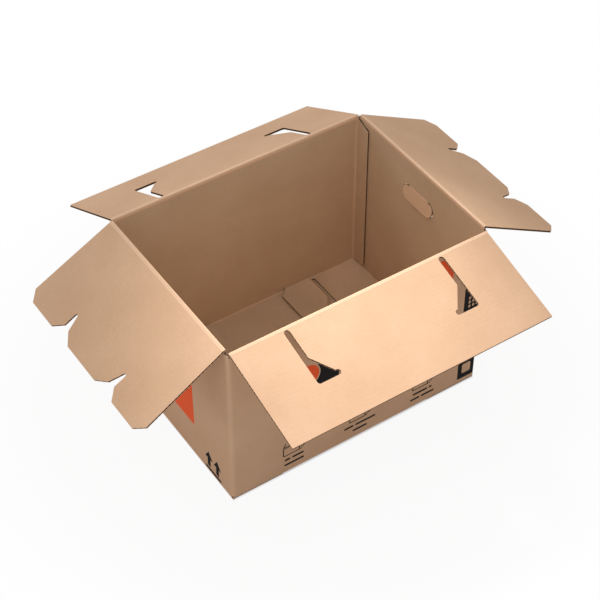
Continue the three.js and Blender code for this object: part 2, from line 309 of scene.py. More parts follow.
def paperFace(nodes, links, shader):
    flat = nodes.new("ShaderNodeUVMap")
    flat.uv_map = "flat"
    across = flat.outputs["UV"]
    clouds = addNoise(nodes, links, across, **texture["clouds"])
    streaks = addNoise(nodes, links, across, **texture["streaks"])
    fibres = addNoise(nodes, links, across, **texture["fibres"])
    flecks = addNoise(nodes, links, across, **texture["flecks"])
    colour = addMix(nodes, links, "MIX", addRange(nodes, links, clouds, *cloudRange, 0, 1),
                    kraft["dark"], kraft["light"])
    colour = addMix(nodes, links, "MIX", kraft["evenness"], colour, kraft["colour"])
    grain = addRange(nodes, links, streaks, *noiseRange, *kraft["streakTone"])
    fine = addRange(nodes, links, fibres, *noiseRange, *kraft["fibreTone"])
    separate = nodes.new("ShaderNodeSeparateXYZ")
    links.new(across, separate.inputs[0])
    turns = addMath(nodes, links, "MULTIPLY", separate.outputs["Y"], 2 * math.pi / (board["flutePitch"] * mm))
    wave = addMath(nodes, links, "SINE", turns, 0)
    lines = addRange(nodes, links, wave, -1, 1, 1 - kraft["washboard"], 1 + kraft["washboard"] / 2)
    shade = addMath(nodes, links, "MULTIPLY", addMath(nodes, links, "MULTIPLY", grain, fine), lines)
    tone = nodes.new("ShaderNodeCombineColor")
    for socket in tone.inputs:
        links.new(shade, socket)
    colour = addMix(nodes, links, "MULTIPLY", 1, colour, tone.outputs[0])
    speckled = addRange(nodes, links, flecks, *kraft["fleckRange"], 0, kraft["fleckCover"])
    colour = addMix(nodes, links, "MIX", speckled, colour, kraft["fleck"])
    height = addMath(nodes, links, "ADD", addMath(nodes, links, "MULTIPLY", fibres, kraft["bumpFibres"]),
                     addMath(nodes, links, "MULTIPLY", wave, kraft["bumpFlutes"]))
    bump = nodes.new("ShaderNodeBump")
    bump.inputs["Strength"].default_value = kraft["bumpStrength"]
    bump.inputs["Distance"].default_value = kraft["bumpDistance"]
    links.new(height, bump.inputs["Height"])
    links.new(bump.outputs["Normal"], shader.inputs["Normal"])
    return colour, shade, fibres


def makeKraft(name, keeps):
    material, nodes, links, shader = newMaterial(name)
    colour, shade, fibres = paperFace(nodes, links, shader)
    colour = addMix(nodes, links, "MULTIPLY", 1, colour, keeps)
    # Lighter paper where the fold attribute is set: wear and painted highlight on the bends
    wornAndLit = nodes.new("ShaderNodeAttribute")
    wornAndLit.attribute_name = "fold"
    cover = addMath(nodes, links, "MULTIPLY", wornAndLit.outputs["Fac"],
                    addRange(nodes, links, fibres, *noiseRange, *kraft["foldCover"]))
    colour = addMix(nodes, links, "MIX", cover, colour, kraft["fold"])
    links.new(colour, shader.inputs["Base Color"])
    shader.inputs["Roughness"].default_value = kraft["roughness"]
    shader.inputs["Specular IOR Level"].default_value = kraft["sheen"]
    return material


# The fluted paper between the liners is nearly always in shadow, so its colours are painted shade, far darker
# than the paper itself
mediumPaperPaintedShade = {
    "dark": (0.050, 0.028, 0.015), "light": (0.150, 0.085, 0.047), "roughness": 0.92, "sheen": 0.2,
}


def makeFluting():
    material, nodes, links, shader = newMaterial("flutedPaperPaintedShade")
    flat = nodes.new("ShaderNodeUVMap")
    flat.uv_map = "flat"
    fibres = addNoise(nodes, links, flat.outputs["UV"], **texture["medium"])
    # Painted shade: the fluting gets the dark colours above, not a kraft tone
    colour = addMix(nodes, links, "MIX", addRange(nodes, links, fibres, *noiseRange, 0, 1),
                    mediumPaperPaintedShade["dark"], mediumPaperPaintedShade["light"])
    links.new(colour, shader.inputs["Base Color"])
    shader.inputs["Roughness"].default_value = mediumPaperPaintedShade["roughness"]
    shader.inputs["Specular IOR Level"].default_value = mediumPaperPaintedShade["sheen"]
    return material


inks = {
    "orange": {"colour": (0.930, 0.112, 0.022), "cover": 0.97, "roughness": 0.75, "sheen": 0.20},
    "black": {"colour": (0.011, 0.012, 0.015), "cover": 0.97, "roughness": 0.90, "sheen": 0.08},
}


inkRange = (0.36, 0.62)   # fibre tone where the ink is thinnest, and where it is full


def makeInk(name, paint):
    material, nodes, links, shader = newMaterial(name)
    colour, shade, fibres = paperFace(nodes, links, shader)
    tone = addMath(nodes, links, "MULTIPLY", shade, fibres)
    gaps = addRange(nodes, links, tone, *inkRange, paint["cover"], 1)
    inked = addMix(nodes, links, "MIX", gaps, colour, paint["colour"])
    links.new(inked, shader.inputs["Base Color"])
    shader.inputs["Roughness"].default_value = paint["roughness"]
    shader.inputs["Specular IOR Level"].default_value = paint["sheen"]
    return material


kraftLiner = makeKraft("kraftLiner", (1.0, 1.0, 1.0))
# The inside liner is the same kraft darkened by painted shade
insideLinerPaintedShade = makeKraft("insideLinerPaintedShade", kraft["inside"])
flutedPaperPaintedShade = makeFluting()
orangeInk = makeInk("orangeInk", inks["orange"])
blackInk = makeInk("blackInk", inks["black"])
print("materials made")


# A corrugated board: two liners and the fluted paper between them

waveHeight = half - board["liner"] - board["medium"] / 2
fluteTurn = 2 * math.pi / board["flutePitch"]


def fluteCutsOver(low, high):
    step = board["flutePitch"] / board["stepsPerFlute"]
    first = math.ceil(low / step) + 1
    return [i * step for i in range(first, math.floor(high / step))]


def boardLayers(place, linerSheets, mediumSheet, foldAt=None, inside=None):
    liners = newShell()
    innerSheet, outerSheet = linerSheets
    addSheet(inside or liners, innerSheet, -half, -half + board["liner"], place, foldAt)
    addSheet(liners, outerSheet, half - board["liner"], half, place, foldAt)
    fluting = newShell()
    addSheet(fluting, mediumSheet,
             lambda y: waveHeight * math.sin(fluteTurn * y) - board["medium"] / 2,
             lambda y: waveHeight * math.sin(fluteTurn * y) + board["medium"] / 2, place)
    return liners, fluting


# The lock's slot, drawn in the corner where X and Y are both positive

lock = {
    "slotStart": 6, "slotLength": 117, "slotWidth": 12, "slotBend": 70, "slotReach": 43,
    "earRadius": 5.5, "earEndAngle": 75, "slotCornerRadius": 5,
    "notchDepth": 50, "notchWidth": 7, "notchFlare": 10.5,
    "lobeTipCut": 20.5, "middleTipCut": 25, "middleTipCutDepth": 18, "flapCornerCut": 20,
    "endFlapDepth": 207,
}
slotFarY = hingeY - lock["slotStart"]
slotNearY = slotFarY - lock["slotLength"]
earY = slotNearY + lock["earRadius"]
earX = hingeX - (lock["endFlapDepth"] - lock["notchDepth"]) + lock["earRadius"]
slotOuterX = earX + lock["slotReach"]
slotInnerX = slotOuterX - lock["slotWidth"]
slotBendY = hingeY - lock["slotBend"]
notchOuterY = earY + lock["notchWidth"] / 2
notchInnerY = earY - lock["notchWidth"] / 2


def slotPlan():
    halfSlot = lock["slotWidth"] / 2
    corner = lock["slotCornerRadius"]
    return (arcPoints(slotOuterX - halfSlot, slotFarY - halfSlot, halfSlot, 180, 0)
            + arcPoints(slotOuterX - corner, slotNearY + corner, corner, 0, -90)
            + arcPoints(earX, earY, lock["earRadius"], -90, -360 + lock["earEndAngle"])
            + [(slotInnerX, slotBendY)])


def notchAndMiddle(depth, notch):
    radius = lock["notchWidth"] / 2
    return (arcPoints(earY, depth - notch + radius, radius, 0, -180)
            + [(notchInnerY - lock["notchFlare"], depth - lock["middleTipCutDepth"]),
               (notchInnerY - lock["notchFlare"] - lock["middleTipCut"], depth)])


# Flaps: boards that turn on a rolled edge

noseLength = half + box["hingeGap"]
flaps = {
    "front_flap": {"piece": "frontFlap", "hinge": (0, -hingeY, 394.4), "out": (0, -1), "droop": 15.8},
    "back_flap": {"piece": "backFlap", "hinge": (0, hingeY, 394.4), "out": (0, 1), "droop": 28.5},
    "left_flap": {"piece": "leftFlap", "hinge": (-hingeX, 0, 398.8), "out": (-1, 0), "droop": 28.9},
    "right_flap": {"piece": "rightFlap", "hinge": (hingeX, 0, 398.8), "out": (1, 0), "droop": 28.9},
    "left_hand_flap": {"piece": "leftHandFlap", "hinge": (-hingeX, 0, 336.5), "out": (1, 0), "droop": 82},
    "right_hand_flap": {"piece": "rightHandFlap", "hinge": (hingeX, 0, 336.5), "out": (-1, 0), "droop": 82},
}
longFlap = {"halfSpan": 278.8, "depth": 204.25}
endFlap = {"halfSpan": 203.0, "hingeHalf": 197.0}
handFlap = {"holeWidth": 95, "holeHeight": 38, "gap": 1.2, "shoulder": 1.5, "holeTop": 338.8}


def hingePlace(node):
    hinge = flaps[node]["hinge"]
    outX, outY = flaps[node]["out"]
    droop = math.radians(flaps[node]["droop"])

    def place(across, along, height):
        out = along * math.cos(droop) + height * math.sin(droop)
        up = height * math.cos(droop) - along * math.sin(droop)
        return (hinge[0] + outX * out - outY * across,
                hinge[1] + boxShiftY + outY * out + outX * across,
                hinge[2] + up)
    return place


def longFlapOutline():
    span, depth = longFlap["halfSpan"], longFlap["depth"]
    slot = [(x, hingeY - y) for x, y in slotPlan()]
    return [(span, noseLength), (span, depth), (-span, depth), (-span, noseLength)], [slot, mirrored(slot)]


def endFlapOutline():
    span, depth = endFlap["halfSpan"], lock["endFlapDepth"]
    side = ([(endFlap["hingeHalf"], noseLength), (span, depth - lock["flapCornerCut"]),
             (span - lock["flapCornerCut"], depth),
             (notchOuterY + lock["lobeTipCut"], depth), (notchOuterY, depth - lock["lobeTipCut"])]
            + notchAndMiddle(depth, lock["notchDepth"]))
    return side + mirrored(side), []


def handFlapOutline():
    hingeHalf = (handFlap["holeWidth"] - handFlap["holeHeight"]) / 2
    centre = handFlap["holeHeight"] / 2 - noseLength
    radius = handFlap["holeHeight"] / 2 - handFlap["gap"]
    shoulder = math.degrees(math.asin((noseLength - centre) / radius))
    side = ([(hingeHalf + handFlap["shoulder"], noseLength - tiny)]
            + arcPoints(hingeHalf, centre, radius, shoulder, 90))
    return side + mirrored(side), []


def makeFlap(node, outlineOf):
    outline, holes = outlineOf()
    place = hingePlace(node)
    depth = max(y for x, y in outline)
    cuts = fluteCutsOver(noseLength, depth)
    plain = flatSheet(outline, holes)
    liners, fluting = boardLayers(place, (plain, plain), flatSheet(outline, holes, cuts))
    halfNose = outline[0][0]
    profile = (arcPoints(0, 0, half, -90, -270) + [(noseLength, half), (noseLength, half - board["liner"])]
               + arcPoints(0, 0, half - board["liner"], -270, -90)
               + [(noseLength, -half + board["liner"]), (noseLength, -half)])
    # The rolled nose is lighter: wear and painted highlight
    addPrism(liners, profile, (-halfNose, halfNose), place, lambda x, y: wearAndHighlight["nose"] if x <= 0 else 0.0)
    piece = flaps[node]["piece"]
    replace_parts(makePiece(piece + "Liners", liners, kraftLiner, node), node)
    makePiece(piece + "Fluting", fluting, flutedPaperPaintedShade, node)


for node, outlineOf in (("front_flap", longFlapOutline), ("back_flap", longFlapOutline),
                        ("left_flap", endFlapOutline), ("right_flap", endFlapOutline),
                        ("left_hand_flap", handFlapOutline), ("right_hand_flap", handFlapOutline)):
    makeFlap(node, outlineOf)
print("flaps made")


# Walls: one strip that starts at the right wall's cut edge and ends in the glued tab

glueTab = {"width": 38, "topTaper": 12, "bottomTaper": 8}
straightX = box["halfLength"] - box["cornerRadius"]
straightY = box["halfWidth"] - box["cornerRadius"]
midRadius = box["cornerRadius"] - half
cornerLength = midRadius * math.pi / 2
jointX = straightX - board["thickness"]
tabLength = straightY - (box["halfWidth"] - board["thickness"] - glueTab["width"])
rightLength = box["halfWidth"] - box["jointSetback"] + straightY

# Each run: length, start point, heading and, for a fold, its centre
runs = []
wallStart = {}


def addRun(name, length, start, heading, centre=None):
    wallStart[name] = sum(run["length"] for run in runs)
    runs.append({"length": length, "start": start, "heading": heading, "centre": centre})


addRun("right", rightLength, (hingeX, rightLength - straightY), -90)
addRun("frontRight", cornerLength, None, 0, (straightX, -straightY))
addRun("front", 2 * straightX, (straightX, -hingeY), 180)
addRun("frontLeft", cornerLength, None, -90, (-straightX, -straightY))
addRun("left", 2 * straightY, (-hingeX, -straightY), 90)
addRun("backLeft", cornerLength, None, 180, (-straightX, straightY))
addRun("back", straightX + jointX, (-straightX, hingeY), 0)
addRun("backRight", cornerLength, None, 90, (jointX, straightY))
addRun("tab", tabLength, (jointX + midRadius, straightY), -90)
stripEnd = sum(run["length"] for run in runs)


def placeWall(along, z, height):
    rest = along
    for run in runs:
        if rest <= run["length"] or run is runs[-1]:
            break
        rest -= run["length"]
    heading = math.radians(run["heading"])
    if run["centre"]:
        angle = heading - rest / midRadius
        radius = midRadius + height
        x = run["centre"][0] + radius * math.cos(angle)
        y = run["centre"][1] + radius * math.sin(angle)
    else:
        x = run["start"][0] + rest * math.cos(heading) - height * math.sin(heading)
        y = run["start"][1] + rest * math.sin(heading) + height * math.cos(heading)
    return (x, y + boxShiftY, z)


uprightFolds = ("frontRight", "frontLeft", "backLeft", "backRight")


def cornerCuts():
    cuts = []
    for name in uprightFolds:
        start = wallStart[name]
        cuts += [start + cornerLength * i / quarterSteps for i in range(quarterSteps + 1)]
        cuts += [start - wearAndHighlight["cornerReach"], start + cornerLength + wearAndHighlight["cornerReach"]]
    return cuts


# Lighter paper over the upright corners: wear and painted highlight
def foldAtCorner(along, z):
    reach = cornerLength / 2 + wearAndHighlight["cornerReach"]
    for name in uprightFolds:
        away = abs(along - wallStart[name] - cornerLength / 2)
        if away < reach - 0.1:
            return wearAndHighlight["corner"] * (1 - away / reach) ** 0.5
    return 0.0


# Upper edge of the strip. Under a flap the edge lies lower by drop, and the corners stand between.
def rimLine(drop):
    longTop, endTop = box["longRim"], box["endRim"]
    corner = straightY - endFlap["hingeHalf"] - (box["endSlopeGap"] if drop else 0)
    rightStart = wallStart["right"] + rightLength - 2 * straightY
    line = [(0, longTop)]
    for first, last, top in (
        (rightStart + corner, wallStart["frontRight"] - corner, endTop - drop),
        (wallStart["front"] - box["footAtLong"], wallStart["frontLeft"] + box["footAtLong"], longTop - drop),
        (wallStart["left"] + corner, wallStart["backLeft"] - corner, endTop - drop),
        (wallStart["back"] - box["footAtLong"], wallStart["tab"], longTop - drop),
    ):
        if top != longTop:
            line += [(first, longTop), (first, top), (last, top), (last, longTop)]
    if line[-1][0] != wallStart["tab"]:
        line.append((wallStart["tab"], longTop))
    return line + [(stripEnd, longTop - glueTab["topTaper"])]


# Lower edge: the upright folds reach down between the floor's folds
def footLine():
    bottom, foot = box["wallBottom"], box["cornerFoot"]
    line = [(stripEnd, bottom + glueTab["bottomTaper"]), (wallStart["tab"], bottom)]
    for name, atStart, atEnd in (("backLeft", "footAtEnd", "footAtLong"),
                                 ("frontLeft", "footAtLong", "footAtEnd"),
                                 ("frontRight", "footAtEnd", "footAtLong")):
        first = wallStart[name] + box[atStart]
        last = wallStart[name] + cornerLength - box[atEnd]
        line += [(last, bottom), (last, foot), (first, foot), (first, bottom)]
    jointEnd = box["footAtLong"]
    return line + [(jointEnd, bottom), (jointEnd, foot), (0, foot)]


def handHole(centre):
    radius = handFlap["holeHeight"] / 2
    reach = (handFlap["holeWidth"] - handFlap["holeHeight"]) / 2
    level = handFlap["holeTop"] - radius
    return (arcPoints(centre + reach, level, radius, -90, 90)
            + arcPoints(centre - reach, level, radius, 90, 270))


def makeWalls():
    slope = math.tan(math.radians(box["steepestFold"]))
    leave = half - noseLength * math.tan(math.radians(box["steepestFold"]) / 2)
    holes = [handHole(wallStart["right"] + rightLength - straightY), handHole(wallStart["left"] + straightY)]

    def outlineAt(height):
        drop = max(0, (height - leave + half) * slope) if height > 0 else 0
        return rimLine(drop) + footLine()
    flutes = fluteCutsOver(box["cornerFoot"], box["endRim"])
    bends = cornerCuts()
    innerSheet = flatSheet(outlineAt(-half), holes, (), bends)
    outerSheet = flatSheet(outlineAt(half), holes, (), bends)
    mediumSheet = flatSheet(outlineAt(waveHeight), holes, flutes, bends)
    # The walls' inner face gets the inside liner, darkened by painted shade
    inside = newShell()
    liners, fluting = boardLayers(placeWall, (innerSheet, outerSheet), mediumSheet, foldAtCorner, inside)
    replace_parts(makePiece("wallLiners", liners, kraftLiner, "carton"), "carton")
    makePiece("wallInside", inside, insideLinerPaintedShade, "carton")
    makePiece("wallFluting", fluting, flutedPaperPaintedShade, "carton")


makeWalls()
print("walls made")


# Floor: the same lock, shut

floor = {
    "longLevel": 4.4, "endLevel": 0.0, "foldRadius": 5.0, "meetingGap": 1.5,
    "endDepth": 200, "notchDepth": 53.5,
    "lobeRun": 8, "lobeSetIn": 0.5, "lobeWallGap": 0.6, "lobeLift": 2, "layerGap": 0.4,
    "lobeEdge": 0.3, "creaseFrom": 0.2, "creasePast": 0.1,
}
foldMid = floor["foldRadius"] - half
foldLength = foldMid * math.pi / 2
foldSteps = 6


# A wall's lower end, its fold and the floor flap, by distance from the wall's end
def placeFloor(side, level, outX, outY):
    drop = box["wallBottom"] - level - floor["foldRadius"]
    outside = (box["halfLength"] if outX else box["halfWidth"]) - half

    def place(across, along, height):
        if along < drop:
            out, up = outside + height, box["wallBottom"] - along
        elif along < drop + foldLength:
            angle = (along - drop) / foldMid
            out = outside - foldMid + (foldMid + height) * math.cos(angle)
            up = level + floor["foldRadius"] - (foldMid + height) * math.sin(angle)
        else:
            out, up = outside - foldMid - (along - drop - foldLength), level + half - height
        return (outX * out - outY * across, outY * out + outX * across + boxShiftY, up)
    return place, drop


def foldCuts(drop):
    return [drop + foldLength * i / foldSteps for i in range(foldSteps + 1) if drop + i > tiny]


# Lighter paper along the floor fold: wear and painted highlight
def foldAtFoot(drop):
    return lambda x, y: wearAndHighlight["floorFold"] if y < drop + foldLength + 0.5 else 0.0


def makeFloorBoard(name, outline, holes, place, fold, cuts, slants=()):
    low, high = min(y for x, y in outline), max(y for x, y in outline)
    plain = flatSheet(outline, holes, cuts, (), slants)
    fluted = flatSheet(outline, holes, sorted(set(cuts + fluteCutsOver(low, high))), (), slants)
    # The floor's inner face gets the inside liner, darkened by painted shade
    inside = newShell()
    liners, fluting = boardLayers(place, (plain, plain), fluted, fold, inside)
    makePiece(name + "Liner", liners, kraftLiner, "carton")
    makePiece(name + "Inside", inside, insideLinerPaintedShade, "carton")
    makePiece(name + "Fluting", fluting, flutedPaperPaintedShade, "carton")


def makeLongFloorFlap(name, side):
    place, drop = placeFloor(side, floor["longLevel"], 0, side)
    reach = drop + foldLength + hingeY - foldMid
    slot = [(x, reach - y) for x, y in slotPlan()]
    span = longFlap["halfSpan"]
    depth = reach - floor["meetingGap"] / 2
    outline = [(span, 0), (span, depth), (-span, depth), (-span, 0)]
    makeFloorBoard(name, outline, [slot, mirrored(slot)], place, foldAtFoot(drop), foldCuts(drop))


def slantPoint(distance, atX=None, atY=None):
    slope = (slotBendY - earY) / (slotInnerX - earX)
    startX = slotInnerX + slantOut[0] * distance
    startY = slotBendY + slantOut[1] * distance
    if atX is not None:
        return (atX, startY + (atX - startX) * slope)
    return (startX + (atY - startY) / slope, atY)


slantAngle = math.atan2(slotBendY - earY, slotInnerX - earX)
slantOut = (math.sin(slantAngle), -math.cos(slantAngle))
lobeTopX = slotInnerX + floor["lobeSetIn"]
lobeFootX = lobeTopX + floor["lobeRun"]
lobeFarY = slotFarY - floor["lobeSetIn"]
lobeWallY = box["halfWidth"] - board["thickness"] - floor["lobeWallGap"]
lobeTipX = box["halfLength"] - floor["endDepth"]
lobeRise = floor["longLevel"] + board["thickness"] + floor["layerGap"]
footBend = slantPoint(floor["lobeSetIn"] + floor["lobeRun"], atX=lobeFootX)
footEnd = slantPoint(floor["lobeSetIn"] + floor["lobeRun"], atY=notchOuterY)


# How high a lobe has climbed at a place of the plan
def lobeHeight(x, y):
    outStraight = x - slotInnerX
    outSlanted = (x - slotInnerX) * slantOut[0] + (y - slotBendY) * slantOut[1]
    out = max(outStraight, outSlanted) - floor["lobeSetIn"]
    climbed = min(1, max(0, 1 - out / floor["lobeRun"]))
    lift = math.tan(math.radians(floor["lobeLift"])) * max(0, lobeTopX - x)
    return lobeRise * climbed + (lift if out <= 0 else 0)


def makeEndFloorFlap(name, side):
    place, drop = placeFloor(side, floor["endLevel"], side, 0)
    reach = drop + foldLength + hingeX - foldMid
    span = endFlap["halfSpan"]
    edge = [(y, reach - (box["halfLength"] - x))
            for y, x in notchAndMiddle(floor["endDepth"], floor["notchDepth"])]
    sideEdge = ([(span, 0), (span, reach - lobeFootX), (footBend[1], reach - lobeFootX),
                 (notchOuterY, reach - footEnd[0])] + edge)
    makeFloorBoard(name, sideEdge + mirrored(sideEdge), [], place, foldAtFoot(drop), foldCuts(drop))

    def placeLobe(across, along, height):
        x, y, z = place(across, along, height)
        return (x, y, z + lobeHeight(reach - along, abs(across)))

    # Lighter paper where the lobe bends: wear and painted highlight
    def foldAtLobe(x, y):
        climbed = lobeHeight(reach - y, abs(x))
        bent = floor["creaseFrom"] < climbed < lobeRise + floor["creasePast"]
        return wearAndHighlight["lobeFold"] if bent else 0.0
    tip, corner, edgeX = lock["lobeTipCut"], lock["flapCornerCut"], lobeTopX + floor["lobeEdge"]
    plan = [(lobeFootX, lobeFarY), footBend, footEnd,
            (lobeTipX + tip, notchOuterY), (lobeTipX, notchOuterY + tip),
            (lobeTipX, lobeWallY - corner), (lobeTipX + corner, lobeWallY),
            (edgeX, lobeWallY), (edgeX, lobeFarY)]
    for lobe, hand in (("Front", -1), ("Back", 1)):
        outline = [(hand * side * y, reach - x) for x, y in plan]
        slants = []
        for distance in (floor["lobeSetIn"], floor["lobeSetIn"] + floor["lobeRun"]):
            offset = slotInnerX * slantOut[0] + slotBendY * slantOut[1] + distance
            slants.append(((hand * side * slantOut[1], -slantOut[0]), offset - reach * slantOut[0]))
        makeFloorBoard(name + lobe + "Lobe", outline, [], placeLobe, foldAtLobe,
                       [reach - lobeFootX + tiny, reach - lobeTopX], slants)


makeLongFloorFlap("frontFloorFlap", -1)
makeLongFloorFlap("backFloorFlap", 1)
makeEndFloorFlap("leftFloorFlap", -1)
makeEndFloorFlap("rightFloorFlap", 1)
print("floor made")


# Folds between walls and flaps: paper from the wall's upper rows round the rolled edge onto the flap, at the
# flap's droop

fold = {
    "paper": 0.2, "innerFoot": -6.0, "outerFoot": -10.5, "onFlap": 5.0, "steps": 10,
    "split": (-5.5, -4.6),
    "wornAndLitAbove": -2,
}


def makeFold(node, halfSpan):
    flap = flaps[node]
    hinge = flap["hinge"]
    outX, outY = flap["out"]
    droop = math.radians(flap["droop"])
    paper = fold["paper"]

    def place(across, out, up):
        return (hinge[0] + outX * out - outY * across,
                hinge[1] + boxShiftY + outY * out + outX * across, hinge[2] + up)

    def onNose(radius, degrees):
        angle = math.radians(degrees)
        return (radius * math.cos(angle), radius * math.sin(angle))

    def onFlap(radius):
        x, y = onNose(radius, 90 - flap["droop"])
        return (x + fold["onFlap"] * math.cos(droop), y - fold["onFlap"] * math.sin(droop))

    shell = newShell()
    steps = fold["steps"]
    angles = [180 - (90 + flap["droop"]) * i / steps for i in range(steps + 1)]

    def overNose(radius):
        return [(-radius, fold["innerFoot"])] + [onNose(radius, a) for a in angles] + [onFlap(radius)]
    span = (-halfSpan, halfSpan)
    # The top of the fold is made lighter than its foot: painted highlight where light catches the bend, with
    # some wear
    addPrism(shell, overNose(half + paper) + overNose(half)[::-1], span, place,
             lambda x, y: wearAndHighlight["foldTop"] if y > fold["wornAndLitAbove"] else wearAndHighlight["foldFoot"])
    under = -half / math.cos(droop) - half * math.tan(droop) + paper
    addPrism(shell, [(half + paper, fold["outerFoot"]), (half + paper, under), (half, under),
                     (half, fold["outerFoot"])], span, place, lambda x, y: wearAndHighlight["foldOutside"])
    shut = 180 - flap["droop"]
    addPrism(shell, [(half + paper, fold["outerFoot"]), onNose(half, shut), onNose(half - paper, shut),
                     (half, fold["outerFoot"])], span, place, lambda x, y: wearAndHighlight["foldOutside"])
    piece = makePiece(flap["piece"] + "Fold", shell, kraftLiner)
    low, high = fold["split"]
    Vector(place(0, 0, low)) * mm
    Vector(place(0, 0, high)) * mm
    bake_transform(piece)


makeFold("front_flap", longFlap["halfSpan"])
makeFold("back_flap", longFlap["halfSpan"])
makeFold("left_flap", endFlap["hingeHalf"])
makeFold("right_flap", endFlap["hingeHalf"])
print("folds made")


# Print: thin ink on the outside of the walls, by distance from the wall's middle, seen from outside

inkLayer = {"low": half + 0.03, "high": half + 0.10}
wallMiddle = {
    "front": wallStart["front"] + straightX,
    "back": wallStart["back"] + straightX,
    "left": wallStart["left"] + straightY,
    "right": wallStart["right"] + rightLength - straightY,
}


def wallPrint(name, wall, shapes, material):
    middle = wallMiddle[wall]
    shell = newShell()
    for outline, *holes in shapes:
        flat = [[(middle - u, z) for u, z in loop] for loop in (outline, *holes)]
        sheet = flatSheet(flat[0], flat[1:], (), cornerCuts())
        addSheet(shell, sheet, inkLayer["low"], inkLayer["high"], placeWall)
    makePiece(name, shell, material, "carton")


def ringFrame(x0, y0, x1, y1, radius, line):
    return [roundedBar(x0, y0, x1, y1, radius),
            roundedBar(x0 + line, y0 + line, x1 - line, y1 - line, max(0.5, radius - line))[::-1]]


def bars(centre, z, words, height=5, gap=4):
    width = sum(words) + gap * (len(words) - 1)
    x = centre - width / 2
    shapes = []
    for word in words:
        shapes.append([roundedBar(x, z, x + word, z + height, 2)])
        x += word + gap
    return shapes


# A small open box, drawn in lines
boxDrawing = {
    "line": 2.2, "corner": 2.5, "left": -25, "edge": 13, "right": 25, "height": 24, "rise": 9,
    "lidLow": 25, "lidFold": 26.5, "lidTop": 36, "lidEnd": 12, "lidTip": (-13, -11), "lidInner": -21,
}


def boxSign(centre, z, lean):
    drawing = boxDrawing
    line, height, rise = drawing["line"], drawing["height"], drawing["rise"]
    left, edge, right = centre + drawing["left"], centre + drawing["edge"], centre + drawing["right"]
    body = ringFrame(left, z, edge, z + height, drawing["corner"], line)
    side = [(edge, z), (right, z + rise), (right, z + height + rise), (edge, z + height),
            (edge, z + height - line), (right - line, z + height + rise - 2 * line),
            (right - line, z + rise + 1), (edge, z + line)]
    tipLeft, tipRight = (centre + tip - lean for tip in drawing["lidTip"])
    lidEnd = centre + drawing["lidEnd"]
    lid = [(left, z + drawing["lidLow"]), (tipLeft, z + drawing["lidTop"]), (tipRight, z + drawing["lidTop"]),
           (centre + drawing["lidInner"], z + drawing["lidFold"]), (lidEnd, z + drawing["lidFold"]),
           (lidEnd, z + drawing["lidLow"])]
    return [body, [side], [lid]]


# Rectangles are given as left, low, right, high and corner radius
longWall = {
    "signs": (
        {"centre": -147, "upperBars": (13, 26), "lowerBars": (44,), "lean": 6},
        {"centre": 4, "upperBars": (22, 47), "lowerBars": (33,), "lean": 0},
        {"centre": 153, "upperBars": (35, 7), "lowerBars": (22, 31), "lean": -6},
    ),
    "signLevel": 52, "upperBarLevel": 38, "lowerBarLevel": 24,
    "panel": (240, 17, 281, 300, 1.5),
    "windowSpan": (250, 271), "windowHeight": 26, "windowCorner": 4, "windowLevels": (30, 66, 102, 138),
    "markSize": (5, 7), "markCorner": 1, "markColumns": (251, 260, 269), "markLevels": (214, 225, 236),
    "discCentre": (-120, 243), "discRadius": 28, "discEnd": 350, "discGap": (-22, -14, -2, -7, 3),
    "patchRight": (-48, 180, 262), "patchLeft": (-160, 180, 216), "patchRing": 3, "patchArc": (38, -120),
    "label": (95, 250, 207, 375, 14),
}
endWall = {
    "panel": (-160, 90, 74, 285, 3),
    "strokeSpan": (-140, 66), "strokeFoot": 182, "strokeStep": 13, "strokeHeight": 3,
    "strokeCorner": 1.4, "strokes": 6,
}


def longWallBlack():
    shapes = []
    for sign in longWall["signs"]:
        shapes += boxSign(sign["centre"], longWall["signLevel"], sign["lean"])
        shapes += bars(sign["centre"], longWall["upperBarLevel"], sign["upperBars"])
        shapes += bars(sign["centre"], longWall["lowerBarLevel"], sign["lowerBars"])
    left, right = longWall["windowSpan"]
    windows = [roundedBar(left, z, right, z + longWall["windowHeight"], longWall["windowCorner"])[::-1]
               for z in longWall["windowLevels"]]
    wide, high = longWall["markSize"]
    marks = [roundedBar(x, z, x + wide, z + high, longWall["markCorner"])[::-1]
             for x in longWall["markColumns"] for z in longWall["markLevels"]]
    shapes.append([roundedBar(*longWall["panel"]), *windows, *marks])
    x, z = longWall["discCentre"]
    ring = longWall["discRadius"] + longWall["patchRing"]
    rightX, rightLow, rightHigh = longWall["patchRight"]
    leftX, leftLow, leftHigh = longWall["patchLeft"]
    shapes.append([[(rightX, rightLow), (rightX, rightHigh)] + arcPoints(x, z, ring, *longWall["patchArc"])
                   + [(leftX, leftHigh), (leftX, leftLow)]])
    return shapes


def longWallOrange():
    x, z = longWall["discCentre"]
    disc = arcPoints(x, z, longWall["discRadius"], 0, longWall["discEnd"])
    left, low, right, high, corner = longWall["discGap"]
    gap = roundedBar(x + left, z + low, x + right, z + high, corner)[::-1]
    return [[disc, gap], [roundedBar(*longWall["label"])]]


def endWallOrange():
    left, right = endWall["strokeSpan"]
    levels = [endWall["strokeFoot"] + endWall["strokeStep"] * i for i in range(endWall["strokes"])]
    strokes = [roundedBar(left, z, right, z + endWall["strokeHeight"], endWall["strokeCorner"])[::-1]
               for z in levels]
    return [[roundedBar(*endWall["panel"]), *strokes]]


# Two upright arrows over a bar
arrows = {
    "middle": 138, "apart": 15, "barHalf": 27, "barLow": 8, "barHigh": 15, "barCorner": 1.5,
    "shaftHalf": 5, "headHalf": 13, "foot": 19, "neck": 40, "tip": 60,
}


